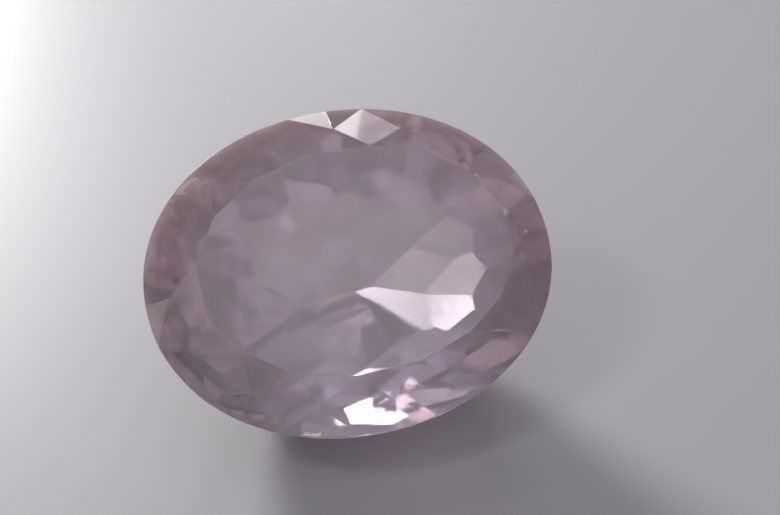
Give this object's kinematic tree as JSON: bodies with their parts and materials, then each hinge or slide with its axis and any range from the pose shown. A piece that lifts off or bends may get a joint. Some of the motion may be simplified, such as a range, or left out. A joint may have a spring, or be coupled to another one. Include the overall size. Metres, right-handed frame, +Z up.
{
  "type": "oval faceted rose quartz gemstone",
  "caption": "Loose oval brilliant-cut gem of milky pink quartz: flat table, low faceted crown, thin girdle and a deep pavilion, lying tipped on one pavilion facet.",
  "frame": {"origin": "bottom centre of the stone's box, on the surface that it lies on", "axes": "+X along the oval's length, +Z up from the surface, -Y the way the tipped table faces; the stone rests on the culet facet of its -Y side"},
  "size_m": [0.025, 0.0172, 0.0149],
  "materials": {
    "rose_quartz": "polished facets on milky, see-through dusky pink quartz"
  },
  "bodies": {
    "root": {"rose_quartz": "rose_quartz"}
  },
  "joints": []
}
